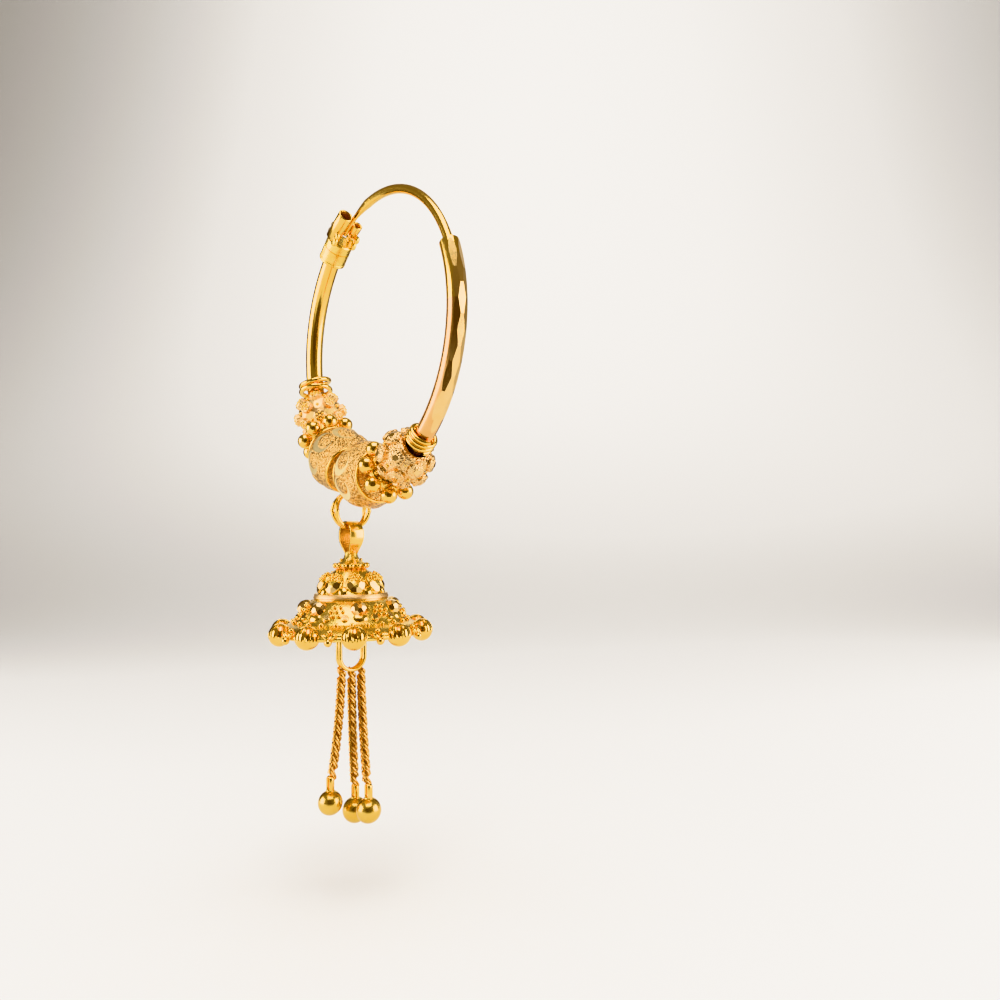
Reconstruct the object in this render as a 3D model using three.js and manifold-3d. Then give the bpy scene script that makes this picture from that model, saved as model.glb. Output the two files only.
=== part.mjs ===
// A gold hoop earring: a round tube threaded with beads, closed by an ear wire and a catch,
// with a bell drop that hangs from the tube on jump rings and ends in three chains with balls.
// Millimetres, +Z up. The hoop stands in the X-Z plane and the catch is on its -X side.
// The origin is on the inside of the ear wire, where the ear bears it, straight above the
// earring's centre of mass. Angles round the hoop are in degrees, from +X towards +Z.
import * as THREE from 'three';
import { mergeVertices } from 'three/addons/utils/BufferGeometryUtils.js';
import Module from 'manifold-3d';

const wasm = await Module();
wasm.setup();

// ---------------------------------------------------------------- driving dimensions
const hoopRadius = 11.1; // centreline of the tube and the ear wire
const tubeRadius = 0.72;
const tubeFrom = 133.4; // at the catch
const tubeTo = 382.5; // at the ear wire
const wireRadius = 0.35;
const bearingAngle = 104; // where the ear bears the wire
const boreRadius = 0.95; // hole through every bead
const looseGap = 0.1; // between links that hang in each other
const eyeAngle = 248; // the hanging eye, between the two crescent beads
const jumpWire = 0.155; // radius of every jump ring's wire

const hoopCentre = new THREE.Vector3(
  -(hoopRadius - wireRadius) * Math.cos(THREE.MathUtils.degToRad(bearingAngle)),
  0,
  -(hoopRadius - wireRadius) * Math.sin(THREE.MathUtils.degToRad(bearingAngle)),
);

// ---------------------------------------------------------------- metals
function gold(colour, roughness) {
  return new THREE.MeshStandardMaterial({ color: colour, roughness, metalness: 1 });
}
const polishedGold = gold(0xe3a83a, 0.18);
const satinGold = gold(0xe6b070, 0.42);
const stippledGold = gold(0xe2b982, 0.55);
const chainGold = gold(0xd2871f, 0.25);

// ---------------------------------------------------------------- geometry helpers
const rad = THREE.MathUtils.degToRad;

function vec(x, y, z) {
  return new THREE.Vector3(x, y, z);
}

/** A closed three.js geometry as a solid that can be joined and cut. */
function solid(geometry) {
  const bare = geometry.clone();
  bare.deleteAttribute('normal');
  bare.deleteAttribute('uv');
  const merged = mergeVertices(bare, 1e-4);
  const corners = merged.index.array;
  const triangles = [];
  for (let i = 0; i < corners.length; i += 3) {
    const [a, b, c] = [corners[i], corners[i + 1], corners[i + 2]];
    if (a !== b && b !== c && c !== a) triangles.push(a, b, c);
  }
  return new wasm.Manifold(new wasm.Mesh({
    numProp: 3,
    vertProperties: Float32Array.from(merged.attributes.position.array),
    triVerts: Uint32Array.from(triangles),
  }));
}

function joined(geometries) {
  return geometries.map(solid).reduce((whole, piece) => whole.add(piece));
}

function geometryOf(body) {
  const { vertProperties, triVerts } = body.getMesh();
  const geometry = new THREE.BufferGeometry();
  geometry.setAttribute('position', new THREE.BufferAttribute(vertProperties, 3));
  geometry.setIndex(new THREE.BufferAttribute(triVerts, 1));
  geometry.computeVertexNormals();
  return geometry;
}

function piece(name, shape, material) {
  const geometry = shape.isBufferGeometry ? shape : geometryOf(shape);
  const mesh = new THREE.Mesh(geometry, material.clone());
  mesh.name = name;
  return mesh;
}

/** A solid turned about Z from its half section, a closed list of [radius, height]. */
function turned(section, sides) {
  const points = section.map(([radius, height]) => new THREE.Vector2(radius, height));
  const geometry = new THREE.LatheGeometry([...points, points[0].clone()], sides);
  geometry.rotateX(Math.PI / 2);
  return geometryOf(solid(geometry));
}

function ball(radius, around, down) {
  return new THREE.SphereGeometry(radius, around, down);
}

/** A round wire along a path. */
function wireAlong(path, radius, steps, sides) {
  const corners = Array.from({ length: sides }, (_, i) => {
    const turn = (2 * Math.PI * i) / sides;
    return new THREE.Vector2(radius * Math.cos(turn), radius * Math.sin(turn));
  });
  return new THREE.ExtrudeGeometry(new THREE.Shape(corners), {
    steps,
    bevelEnabled: false,
    extrudePath: path,
  });
}

/** A closed oval wire ring in the X-Z plane, centred on the origin. */
function ovalRing(halfWidth, halfHeight, wire, around, sides) {
  const geometry = new THREE.TorusGeometry(1, wire, sides, around);
  const places = geometry.attributes.position;
  for (let i = 0; i < places.count; i += 1) {
    const [x, z, y] = [places.getX(i), places.getY(i), places.getZ(i)];
    const turn = Math.atan2(z, x);
    const out = Math.hypot(x, z) - 1;
    const normal = new THREE.Vector2(halfHeight * Math.cos(turn), halfWidth * Math.sin(turn)).normalize();
    places.setXYZ(
      i,
      halfWidth * Math.cos(turn) + out * normal.x,
      -y,
      halfHeight * Math.sin(turn) + out * normal.y,
    );
  }
  return geometry;
}

/** A path given by a function of its share, from 0 to 1. */
class Route extends THREE.Curve {
  constructor(place) {
    super();
    this.place = place;
  }

  getPoint(share, target = new THREE.Vector3()) {
    return target.copy(this.place(share));
  }
}

function onHoop(angle, radius = hoopRadius) {
  return vec(radius * Math.cos(rad(angle)), 0, radius * Math.sin(rad(angle))).add(hoopCentre);
}

function hoopArc(from, to, radius = hoopRadius) {
  return new Route((share) => onHoop(from + (to - from) * share, radius));
}

/** A group on the tube: its Z runs along the hoop, its X points away from the hoop's centre. */
function threaded(angle, inset, ...meshes) {
  const group = new THREE.Group();
  group.position.copy(onHoop(angle, hoopRadius - inset));
  group.rotation.y = -rad(angle);
  group.add(...meshes);
  return group;
}

// ---------------------------------------------------------------- tube, wire and catch
const eye = { halfWidth: 0.54, halfHeight: 0.54, wire: 0.15, post: 0.2 };
const dropX = onHoop(eyeAngle).x;
const eyeCentreZ = onHoop(eyeAngle).z - 1.882;
const eyeBottomZ = eyeCentreZ - eye.halfHeight;

/** The thick tube, with the hanging eye soldered under it on a short post. */
function hoopTube() {
  const tube = wireAlong(hoopArc(tubeFrom, tubeTo), tubeRadius, 38, 8);
  const loop = ovalRing(eye.halfWidth, eye.halfHeight, eye.wire, 16, 6);
  loop.translate(dropX, 0, eyeCentreZ);
  const postTop = onHoop(eyeAngle).z - tubeRadius * 0.8;
  const postFoot = eyeCentreZ + eye.halfHeight;
  const post = new THREE.CylinderGeometry(eye.post, eye.post, postTop - postFoot, 10);
  post.rotateX(Math.PI / 2);
  post.translate(dropX, 0, (postTop + postFoot) / 2);
  return piece('hoop_tube', joined([tube, loop, post]), polishedGold);
}

const bladeThickness = 0.28;
const bladeDepth = 0.46;

/** The ear wire: round over the top, beaten to a flat blade where it enters the catch. */
function earWire() {
  const round = wireAlong(hoopArc(106, tubeTo - 360 + 0.7), wireRadius, 20, 8);
  const halfDepth = bladeDepth / 2;
  const halfThickness = bladeThickness / 2;
  const flat = new THREE.Shape([
    new THREE.Vector2(-halfThickness, -halfDepth),
    new THREE.Vector2(halfThickness, -halfDepth),
    new THREE.Vector2(halfThickness, halfDepth),
    new THREE.Vector2(-halfThickness, halfDepth),
  ]);
  const blade = new THREE.ExtrudeGeometry(flat, {
    steps: 4,
    bevelEnabled: false,
    extrudePath: hoopArc(103, 118.5),
  });
  return piece('ear_wire', joined([round, blade]), polishedGold);
}

const collar = { angle: 127.3, radius: 1.12, length: 2.1 };
const socket = { angle: 114.6, radius: 0.62, bore: 0.36, length: 2.75, side: -0.5 };
const keeper = { radius: 0.46, length: 2.2, side: 0.62 };
const slotWidth = bladeThickness + 2 * looseGap;

/** The catch: a collar on the tube's end, and a socket and keeper either side of the blade. */
function catchPiece() {
  const cylinder = (radius, length, sides) => {
    const shape = new THREE.CylinderGeometry(radius, radius, length, sides);
    shape.rotateX(Math.PI / 2);
    return shape;
  };
  const atAngle = (shape, angle) => {
    shape.rotateY(-rad(angle));
    const place = onHoop(angle);
    shape.translate(place.x, place.y, place.z);
    return shape;
  };
  const parts = [atAngle(cylinder(collar.radius, collar.length, 16), collar.angle)];
  const barrel = cylinder(socket.radius, socket.length, 12);
  barrel.translate(0, socket.side, 0);
  parts.push(atAngle(barrel, socket.angle));
  const small = cylinder(keeper.radius, keeper.length, 10);
  small.translate(0, keeper.side, (socket.length - keeper.length) / 2);
  parts.push(atAngle(small, socket.angle));
  for (const [angle, side, size] of [
    [121.4, -0.85, 0.42],
    [121.4, 0.85, 0.42],
    [114.5, 0.98, 0.34],
    [112.8, -0.98, 0.3],
  ]) {
    const lobe = ball(size, 6, 4);
    lobe.translate(0, side, 0);
    parts.push(atAngle(lobe, angle));
  }
  const bore = cylinder(socket.bore, socket.length, 10);
  bore.translate(0, socket.side, -0.5);
  const slot = new THREE.BoxGeometry(4, slotWidth, 3.0);
  slot.translate(0, 0, -0.02);
  return piece(
    'catch',
    joined(parts).subtract(solid(atAngle(bore, socket.angle))).subtract(solid(atAngle(slot, socket.angle))),
    polishedGold,
  );
}

// ---------------------------------------------------------------- beads on the tube
const crescent = { halfLength: 2.02, endRadius: 2.0, rimRadius: 2.17, rimWidth: 0.2, belly: 2.7 };
const flower = { halfLength: 1.75, endRadius: 1.25, body: 1.95, bossRadius: 0.52, bossHeight: 0.22 };
const ballRing = { pitch: 1.97, ball: 0.64, balls: 8, bandRadius: 1.5, bandHalf: 0.36 };
const spacer = { radius: 1.26, wire: 0.22 };
const coil = { radius: 0.97, wire: 0.16, turns: 3, pitch: 0.36 };

/** A barrel bead with a raised rim at each end. */
function crescentBead(name) {
  const { halfLength, endRadius, rimRadius, rimWidth, belly } = crescent;
  const bulge = (height) => endRadius
    + (belly - endRadius) * Math.cos((Math.PI / 2) * (height / halfLength));
  const inner = halfLength - rimWidth;
  const outside = [-0.95, -0.6, 0, 0.6, 0.95].map((share) => [bulge(share * inner), share * inner]);
  const section = [
    [boreRadius, -halfLength],
    [rimRadius, -halfLength],
    [rimRadius, -inner],
    ...outside,
    [rimRadius, inner],
    [rimRadius, halfLength],
    [boreRadius, halfLength],
  ];
  return piece(name, turned(section, 16), stippledGold);
}

/** A round bead with two rows of raised round bosses. */
function flowerBead(name) {
  const { halfLength, endRadius, body, bossRadius, bossHeight } = flower;
  const section = [
    [boreRadius, -halfLength],
    [endRadius, -halfLength],
    [body * 0.88, -halfLength * 0.66],
    [body, -halfLength * 0.3],
    [body, halfLength * 0.3],
    [body * 0.88, halfLength * 0.66],
    [endRadius, halfLength],
    [boreRadius, halfLength],
  ];
  let whole = solid(turned(section, 14));
  const bosses = 6;
  for (const row of [-1, 1]) {
    for (let i = 0; i < bosses; i += 1) {
      const boss = new THREE.CylinderGeometry(bossRadius * 0.85, bossRadius, bossHeight + 0.5, 6);
      boss.translate(0, body + (bossHeight - 0.5) / 2, 0);
      boss.rotateX(rad(row * 13));
      boss.rotateZ((2 * Math.PI * (i + row / 4)) / bosses);
      boss.translate(0, 0, row * 0.16);
      whole = whole.add(solid(boss));
    }
  }
  return piece(name, whole, satinGold);
}

/** A narrow band with a ring of balls round it. */
function ballRingBead(name) {
  const { pitch, ball: size, balls, bandRadius, bandHalf } = ballRing;
  const parts = [turned([
    [boreRadius, -bandHalf],
    [bandRadius, -bandHalf],
    [bandRadius, bandHalf],
    [boreRadius, bandHalf],
  ], 16)];
  for (let i = 0; i < balls; i += 1) {
    const one = ball(size, 6, 4);
    one.translate(0, pitch, 0);
    one.rotateZ((2 * Math.PI * i) / balls);
    parts.push(one);
  }
  return piece(name, joined(parts), polishedGold);
}

function spacerRing(name) {
  return piece(name, new THREE.TorusGeometry(spacer.radius, spacer.wire, 6, 14), polishedGold);
}

/** A short close coil of wire round the tube. */
function coilSpacer() {
  const { radius, wire, turns, pitch } = coil;
  const helix = new Route((share) => {
    const turn = 2 * Math.PI * turns * share;
    return vec(radius * Math.cos(turn), radius * Math.sin(turn), pitch * turns * (share - 0.5));
  });
  return piece('coil_spacer', wireAlong(helix, wire, 11 * turns, 6), polishedGold);
}

function beadString() {
  const sag = 0.07; // a straight bead sits a little inside the curved tube's centreline
  const tilted = spacerRing('spacer_ring_upper');
  tilted.rotation.x = rad(-12);
  return [
    threaded(190.6, 0, tilted),
    threaded(194.4, 0, spacerRing('spacer_ring_lower')),
    threaded(207.3, sag, flowerBead('flower_bead_left')),
    threaded(221.0, 0, ballRingBead('ball_ring_left')),
    threaded(238.0, sag, crescentBead('crescent_bead_left')),
    threaded(263.9, sag, crescentBead('crescent_bead_right')),
    threaded(280.9, 0, ballRingBead('ball_ring_right')),
    threaded(293.2, sag, flowerBead('flower_bead_right')),
    threaded(306.3, 0, coilSpacer()),
  ];
}

// ---------------------------------------------------------------- jump rings above the bell
const jumpRing = { radius: 1.45, spread: 0.17, bow: 0.28 };
// At the spread of the rings the round eye's lower wire is a little higher than at its middle.
const eyeRise = eye.halfHeight * (1 - Math.sqrt(1 - (jumpRing.spread / eye.halfWidth) ** 2));
const jumpTopZ = eyeBottomZ + eyeRise + eye.wire + looseGap + jumpWire;
const jumpBottomZ = jumpTopZ - 2 * jumpRing.radius;

function jumpRings() {
  return [['jump_ring_near', 1], ['jump_ring_far', -1]].map(([name, side]) => {
    const ring = new THREE.TorusGeometry(jumpRing.radius, jumpWire, 6, 20);
    ring.rotateY(Math.PI / 2);
    const places = ring.attributes.position;
    for (let i = 0; i < places.count; i += 1) {
      const share = Math.cos(Math.atan2(places.getZ(i), places.getY(i))) ** 2;
      places.setX(i, places.getX(i) + side * jumpRing.bow * share);
    }
    const mesh = piece(name, ring, polishedGold);
    mesh.position.set(dropX + side * jumpRing.spread, 0, (jumpTopZ + jumpBottomZ) / 2);
    return mesh;
  });
}

// ---------------------------------------------------------------- bell
// Heights are measured down from the bail's inside top.
const bailTopZ = jumpBottomZ + 0.4;
const bail = { width: 1.15, strip: 0.2, innerHalf: 0.88, drop: 2.35 };
const bell = {
  collarTop: -2.5,
  granuleRing: -3.45,
  capTop: -3.75,
  band: -5.6,
  skirtTop: -6.2,
  skirtFoot: -7.85,
  rim: -8.65,
  wall: 0.4,
};
const shells = { count: 10, radius: 5.85, halfWidth: 0.94, halfHeight: 0.9, halfDepth: 0.86 };

/** The flat strip bent into a loop, open along Y, with its legs soldered in the collar. */
function bailStrip() {
  const outerHalf = bail.innerHalf + bail.strip;
  const outline = new THREE.Shape();
  outline.moveTo(-0.42, -bail.drop - 0.5);
  outline.lineTo(0.42, -bail.drop - 0.5);
  outline.lineTo(outerHalf, -bail.innerHalf - 0.6);
  outline.lineTo(outerHalf, -bail.innerHalf);
  outline.absarc(0, -bail.innerHalf, outerHalf, 0, Math.PI, false);
  outline.lineTo(-outerHalf, -bail.innerHalf - 0.6);
  const opening = new THREE.Path();
  opening.moveTo(-bail.innerHalf, -bail.innerHalf);
  opening.absarc(0, -bail.innerHalf, bail.innerHalf, Math.PI, 0, true);
  opening.lineTo(bail.innerHalf, -bail.innerHalf - 0.5);
  opening.lineTo(0.12, -bail.drop);
  opening.lineTo(-0.12, -bail.drop);
  opening.lineTo(-bail.innerHalf, -bail.innerHalf - 0.5);
  outline.holes.push(opening);
  const strip = new THREE.ExtrudeGeometry(outline, {
    depth: bail.width,
    steps: 1,
    curveSegments: 6,
    bevelEnabled: false,
  });
  strip.translate(0, 0, -bail.width / 2);
  strip.rotateX(Math.PI / 2);
  return strip;
}

/** The hollow wall of the bell, open below, from the bail's collar to the rim. */
function bellWall() {
  const outside = [
    [0, bell.collarTop + 0.1],
    [0.5, bell.collarTop + 0.1],
    [0.75, bell.collarTop - 0.55],
    [1.6, bell.granuleRing],
    [1.35, bell.capTop],
    [2.6, bell.capTop - 1.2],
    [2.72, bell.band],
    [2.95, bell.band - 0.15],
    [3.0, bell.skirtTop],
    [4.25, bell.skirtTop - 1.1],
    [4.55, bell.skirtFoot],
    [5.75, bell.rim + 0.35],
    [5.95, bell.rim - 0.25],
  ];
  const inside = [
    [5.5, bell.rim - 0.25],
    [4.2, bell.skirtFoot - 0.35],
    [3.4, bell.skirtTop - 0.95],
    [2.4, bell.band - 0.3],
    [1.2, bell.capTop - 0.6],
    [0, bell.capTop - 0.35],
  ];
  return turned([...inside.reverse(), ...outside.reverse()], 16);
}

const innerEye = { halfWidth: 0.6, halfHeight: 0.6, wire: 0.15, bottom: -8.95 };
const innerEyeCentre = innerEye.bottom + innerEye.halfHeight;

function bellPiece() {
  const parts = [bailStrip(), bellWall()];
  for (let i = 0; i < 8; i += 1) {
    const lobe = ball(0.62, 5, 4);
    lobe.scale(1.1, 0.75, 1.35);
    lobe.translate(0, -2.05, bell.capTop - 0.95);
    lobe.rotateZ((2 * Math.PI * i) / 8 + rad(26));
    parts.push(lobe);
  }
  for (let i = 0; i < 7; i += 1) {
    const stud = ball(0.55, 5, 4);
    stud.translate(0, -3.75, bell.skirtTop - 0.75);
    stud.rotateZ((2 * Math.PI * i) / 7 + rad(20.3));
    parts.push(stud);
  }
  for (let i = 0; i < shells.count; i += 1) {
    const shell = ball(1, 6, 4);
    shell.scale(shells.halfWidth, shells.halfDepth, shells.halfHeight);
    shell.translate(0, -shells.radius, bell.rim);
    shell.rotateZ((2 * Math.PI * i) / shells.count - rad(7.5));
    parts.push(shell);
  }
  const postTop = bell.capTop - 0.2;
  const postFoot = innerEyeCentre + innerEye.halfHeight - 0.05;
  const post = new THREE.CylinderGeometry(0.22, 0.22, postTop - postFoot, 8);
  post.rotateX(Math.PI / 2);
  post.translate(0, 0, (postTop + postFoot) / 2);
  const loop = ovalRing(innerEye.halfWidth, innerEye.halfHeight, innerEye.wire, 14, 6);
  loop.translate(0, 0, innerEyeCentre);
  parts.push(post, loop);
  return piece('bell', joined(parts), polishedGold);
}

// ---------------------------------------------------------------- lower rings, chains, balls
const lowerRing = { halfWidth: 1.1, halfHeight: 1.7, spread: 0.2 };
const lowerRise = innerEye.halfHeight
  * (1 - Math.sqrt(1 - (lowerRing.spread / innerEye.halfWidth) ** 2));
const lowerTop = innerEye.bottom + lowerRise + innerEye.wire + looseGap + jumpWire;
const lowerBottom = lowerTop - 2 * lowerRing.halfHeight;

function lowerRings() {
  return [['lower_ring_near', 1], ['lower_ring_far', -1]].map(([name, side]) => {
    const ring = ovalRing(lowerRing.halfWidth, lowerRing.halfHeight, jumpWire, 16, 6);
    ring.rotateZ(Math.PI / 2);
    const mesh = piece(name, ring, polishedGold);
    mesh.position.set(side * lowerRing.spread, 0, (lowerTop + lowerBottom) / 2);
    return mesh;
  });
}

const chainRadius = 0.38;
const endBallRadius = 0.98;
const strap = { halfWidth: 0.3, halfHeight: 0.62, wire: 0.11 };
// Each chain leaves the lower rings at its own place across them and ends over its own ball.
const strands = [
  { side: 'left', across: -0.86, ball: [-0.64, -1.57, -22.35] },
  { side: 'middle', across: 0, ball: [-0.64, 0.65, -23.4] },
  { side: 'right', across: 0.86, ball: [1.5, 0.7, -22.9] },
];

function strandPieces({ side, across, ball: [x, y, z] }) {
  const nearest = Math.max(Math.abs(across) - chainRadius, 0);
  const ringCurve = Math.sqrt(1 - (nearest / lowerRing.halfWidth) ** 2);
  const ringZ = (lowerTop + lowerBottom) / 2 - lowerRing.halfHeight * ringCurve;
  const top = vec(0, across, ringZ - jumpWire - looseGap);
  const strapTop = z + endBallRadius + 2 * strap.halfHeight - 0.15;
  const foot = vec(x, y, strapTop + strap.wire + looseGap);
  const bend = vec(x * 0.35, across + (y - across) * 0.35, (top.z + foot.z) / 2);
  const chain = wireAlong(new THREE.QuadraticBezierCurve3(top, bend, foot), chainRadius, 8, 8);
  const loop = ovalRing(strap.halfWidth, strap.halfHeight, strap.wire, 10, 5);
  loop.translate(0, 0, endBallRadius + strap.halfHeight - 0.15);
  const endBall = piece(`end_ball_${side}`, joined([ball(endBallRadius, 11, 7), loop]), polishedGold);
  endBall.position.set(x, y, z);
  return [piece(`chain_${side}`, chain, chainGold), endBall];
}

// ---------------------------------------------------------------- the whole earring
function dropGroup() {
  const drop = new THREE.Group();
  drop.position.set(dropX, 0, bailTopZ);
  drop.add(bellPiece(), ...lowerRings(), ...strands.flatMap(strandPieces));
  return drop;
}

const earring = new THREE.Group();
earring.add(hoopTube(), earWire(), catchPiece(), ...beadString(), ...jumpRings(), dropGroup());

export default earring;
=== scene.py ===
# %% [markdown]
# # A beaded hoop earring with a bell drop
# The earring is worked in yellow gold. A round tube carries a row of beads and closes through a
# catch, and a small flared bell hangs from it on jump rings with three short chains inside.
# Everything is placed in the frame's own metres, so each piece sits where its solid sits.

# %% Open the frame
import math

import bpy
from mathutils import Matrix, Vector


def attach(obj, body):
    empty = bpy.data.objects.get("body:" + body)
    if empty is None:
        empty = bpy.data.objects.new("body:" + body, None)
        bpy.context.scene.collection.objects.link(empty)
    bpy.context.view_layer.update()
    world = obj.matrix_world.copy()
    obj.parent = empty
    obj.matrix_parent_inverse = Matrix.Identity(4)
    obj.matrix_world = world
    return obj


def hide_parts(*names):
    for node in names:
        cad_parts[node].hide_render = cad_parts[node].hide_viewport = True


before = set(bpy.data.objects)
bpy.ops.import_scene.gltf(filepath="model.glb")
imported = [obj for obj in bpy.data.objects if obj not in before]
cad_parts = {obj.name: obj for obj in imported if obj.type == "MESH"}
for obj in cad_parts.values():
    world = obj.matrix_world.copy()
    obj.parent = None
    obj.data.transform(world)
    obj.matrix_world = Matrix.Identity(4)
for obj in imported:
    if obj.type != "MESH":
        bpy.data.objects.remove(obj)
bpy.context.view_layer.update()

# %% [markdown]
# ## Sizes
# The hoop stands in the X-Z plane and its catch is on the -X side. Angles round it are in
# degrees from +X towards +Z. The bell's parts are measured down from the inside of its bail,
# where it hangs. All lengths here are in millimetres.

# %% Sizes in millimetres
MM = 0.001
HOOP_CENTRE = (2.6007, 0.0, -10.4307)
HOOP_RADIUS = 11.1
TUBE_RADIUS = 0.72
WIRE_RADIUS = 0.35
BORE = 0.95
BEAD_SINK = 0.07  # how far towards the hoop's middle a big bead sits
DROP_X = -1.5575
EYE_BOTTOM = -23.1444
RING_TOP = -22.7121
RING_BOTTOM = -25.6121
BAIL_TOP = -25.2121

# %% [markdown]
# ## Small helpers
# The same few moves come back all the time: let go of everything, open one piece for editing,
# choose some of its faces or corners by where they are, and copy a finished piece to new places.
# Several pieces are then joined into one, and each finished piece is hung on its body.

# %% Places and turns


def shift(x, y, z):
    return Matrix.Translation((x * MM, y * MM, z * MM))


def turn(degrees, axis):
    return Matrix.Rotation(math.radians(degrees), 4, axis)


def stretch(x, y, z):
    return Matrix.Diagonal((x, y, z, 1.0))


def around(count, first=0.0):
    """Turns about Z that share a full circle out evenly."""
    return [turn(first + 360.0 * i / count, "Z") for i in range(count)]


# %% Open a piece and choose parts of it


def let_go():
    """Closes any editing and lets go of every piece."""
    if bpy.context.object and bpy.context.object.mode != "OBJECT":
        bpy.ops.object.mode_set(mode="OBJECT")
    bpy.ops.object.select_all(action="DESELECT")


def take(obj):
    """Picks up one piece alone."""
    let_go()
    obj.select_set(True)
    bpy.context.view_layer.objects.active = obj


def edit(obj, what="VERT"):
    """Opens a piece for editing, with nothing on it chosen."""
    take(obj)
    bpy.ops.object.mode_set(mode="EDIT")
    bpy.ops.mesh.select_mode(type=what)
    bpy.ops.mesh.select_all(action="DESELECT")


def done():
    """Closes the piece that is being edited."""
    bpy.ops.object.mode_set(mode="OBJECT")


def choose_all():
    bpy.ops.mesh.select_all(action="SELECT")


def choose_corners(obj, test):
    """Chooses the corners whose place, in millimetres, passes the test."""
    edit(obj, "VERT")
    done()
    for corner in obj.data.vertices:
        corner.select = bool(test(corner.co / MM))
    bpy.ops.object.mode_set(mode="EDIT")


def choose_faces(obj, test):
    """Chooses the faces whose centre, in millimetres, and normal pass the test."""
    edit(obj, "FACE")
    done()
    for face in obj.data.polygons:
        face.select = bool(test(face.center / MM, face.normal))
    bpy.ops.object.mode_set(mode="EDIT")


# %% Place, copy, join and finish pieces


def settle(obj):
    """Writes a piece's place, turn and size into its mesh."""
    take(obj)
    bpy.ops.object.transform_apply(location=True, rotation=True, scale=True)
    return obj


def put(obj, *moves):
    """Moves a piece by one or more matrices, the last one first, and settles it."""
    whole = Matrix.Identity(4)
    for move in moves:
        whole = whole @ move
    obj.matrix_world = whole @ obj.matrix_world
    return settle(obj)


def copies(obj, places):
    """A copy of a piece at every place; the first one is used up."""
    made = []
    for place in places:
        twin = obj.copy()
        twin.data = obj.data.copy()
        bpy.context.scene.collection.objects.link(twin)
        twin.matrix_world = place @ obj.matrix_world
        made.append(twin)
    bpy.data.objects.remove(obj)
    return made


def another(obj):
    """One more copy of a piece, in the same place."""
    return copies(obj.copy(), [Matrix.Identity(4)])[0]


def join(parts, name):
    """Makes several pieces one, as if soldered."""
    let_go()
    for part in parts:
        part.select_set(True)
    bpy.context.view_layer.objects.active = parts[0]
    bpy.ops.object.join()
    whole = bpy.context.object
    whole.name = name
    return settle(whole)


def dress(obj, metal):
    """Gives a piece one finish all over."""
    obj.data.materials.clear()
    obj.data.materials.append(metal)
    return obj


def draw_out(vector):
    """Extrudes what is chosen along a vector."""
    bpy.ops.mesh.extrude_region_move(TRANSFORM_OT_translate={"value": vector})


def finish_chosen(obj, slot):
    """Gives the chosen faces another of the piece's finishes."""
    obj.active_material_index = slot
    bpy.ops.object.material_slot_assign()


def outward(obj):
    """Merges doubled corners and turns every face outwards."""
    edit(obj)
    choose_all()
    bpy.ops.mesh.remove_doubles(threshold=0.0005 * MM)
    bpy.ops.mesh.normals_make_consistent(inside=False)
    done()
    return obj


def smooth(obj, degrees=32):
    """Smooths the shading over all edges blunter than an angle."""
    take(obj)
    bpy.ops.object.shade_smooth_by_angle(angle=math.radians(degrees))
    return obj


def hand_over(obj, name, body, slot, *nodes):
    """Names a finished piece, hangs it on its body and lets it stand for its solids."""
    obj.name = name.replace(" ", "-").replace("_", "-")
    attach(obj, body)
    if nodes:
        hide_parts(*nodes)
    print(name, "has", len(obj.data.polygons), "faces")


# %% [markdown]
# ## Shapes that come back
# Most gold parts are turned, drawn or cast from a few plain shapes: turned rounds, rods, wire
# rings and balls. A turned round is raised ring by ring, as on a lathe.

# %% Rounds, balls, rods and rings


def turned(profile, sides, closed=False):
    """A round shape about Z, raised ring by ring from (radius, height) pairs."""
    let_go()
    radius, height = profile[0]
    bpy.ops.mesh.primitive_circle_add(
        vertices=sides, radius=radius * MM, location=(0, 0, height * MM)
    )
    obj = settle(bpy.context.object)
    edit(obj)
    choose_all()
    for (was, low), (now, high) in zip(profile, profile[1:]):
        draw_out((0, 0, (high - low) * MM))
        bpy.ops.transform.resize(value=(now / was, now / was, 1))
    choose_all()
    if not closed:
        bpy.ops.mesh.fill_holes(sides=0)
    done()
    return outward(obj)


def ball(radius, around_=24, down=16, place=(0, 0, 0)):
    let_go()
    bpy.ops.mesh.primitive_uv_sphere_add(
        segments=around_, ring_count=down, radius=radius * MM, location=[v * MM for v in place]
    )
    return settle(bpy.context.object)


def rod(radius, length, sides=32, rounding=0.05):
    """A round rod along Z with its two rims rounded."""
    let_go()
    bpy.ops.mesh.primitive_cylinder_add(vertices=sides, radius=radius * MM, depth=length * MM)
    obj = bpy.context.object
    choose_faces(obj, lambda at, n: abs(n.z) > 0.9)
    bpy.ops.mesh.region_to_loop()
    bpy.ops.mesh.bevel(offset=rounding * MM, segments=3)
    done()
    return obj


def wire_ring(half_width, half_height, wire, steps=48, sides=14):
    """A closed wire ring in the X-Z plane, oval if its halves differ."""
    let_go()
    bpy.ops.mesh.primitive_torus_add(
        major_segments=steps, minor_segments=sides,
        major_radius=half_width * MM, minor_radius=wire * MM,
    )
    obj = settle(bpy.context.object)
    put(obj, turn(90, "X"))
    extra = half_height - half_width
    if extra > 0:
        for side in (1, -1):
            choose_corners(obj, lambda at, s=side: at.z * s > 0.0001)
            bpy.ops.transform.translate(value=(0, 0, side * extra * MM))
        done()
    return obj


# %% Places along the hoop


def on_hoop(angle, radius=HOOP_RADIUS):
    a = math.radians(angle)
    return Vector((HOOP_CENTRE[0] + radius * math.cos(a), 0, HOOP_CENTRE[2] + radius * math.sin(a)))


def threaded(angle, inset=0.0):
    """The place of a bead: Z along the hoop, X away from the hoop's middle."""
    at = on_hoop(angle, HOOP_RADIUS - inset)
    return shift(*at) @ turn(-angle, "Y")


def hoop_angle(at):
    """How far round the hoop a place is, in degrees from 0 to 360."""
    return math.degrees(math.atan2(at.z - HOOP_CENTRE[2], at.x - HOOP_CENTRE[0])) % 360


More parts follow.
